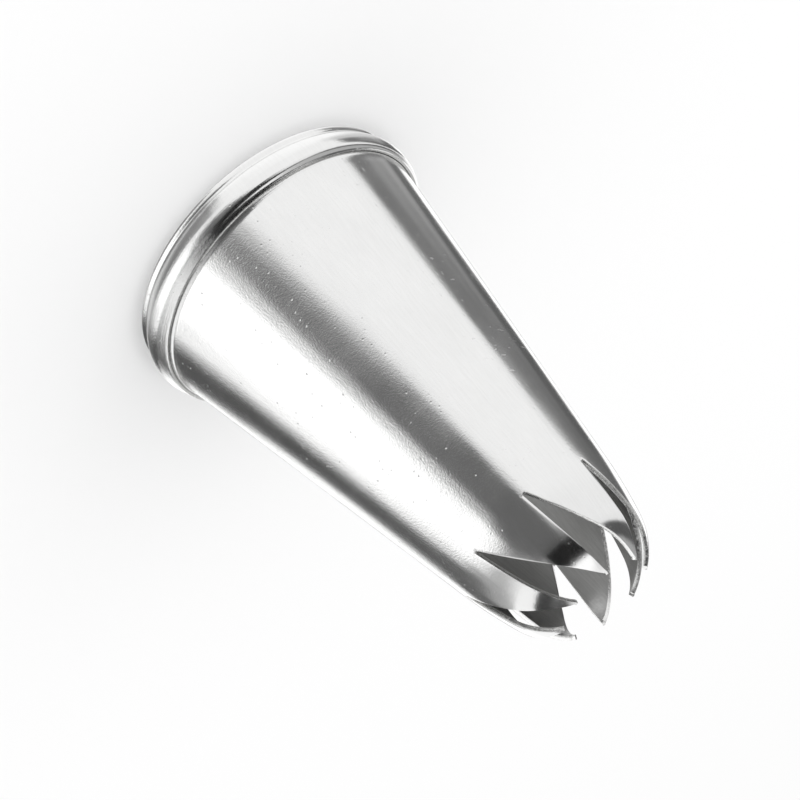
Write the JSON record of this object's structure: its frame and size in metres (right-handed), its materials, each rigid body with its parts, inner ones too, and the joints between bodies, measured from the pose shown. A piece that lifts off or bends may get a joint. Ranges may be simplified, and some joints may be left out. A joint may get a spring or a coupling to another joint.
{
  "type": "piping nozzle",
  "caption": "Drop-flower piping nozzle of stainless steel sheet: a tapered cone with a rolled rim and a crown of twisted, inward-curved petals that shape icing into a flower.",
  "frame": {"origin": "centre of the rolled rim's resting face", "axes": "+Z along the nozzle's axis from the rim to the petal tips, +X through the middle of a petal's root"},
  "size_m": [0.028, 0.028, 0.0438],
  "materials": {
    "stainless_steel": "polished"
  },
  "bodies": {
    "root": {"rolled_rim": "stainless_steel", "cone_wall": "stainless_steel", "petals": "stainless_steel"}
  },
  "joints": []
}
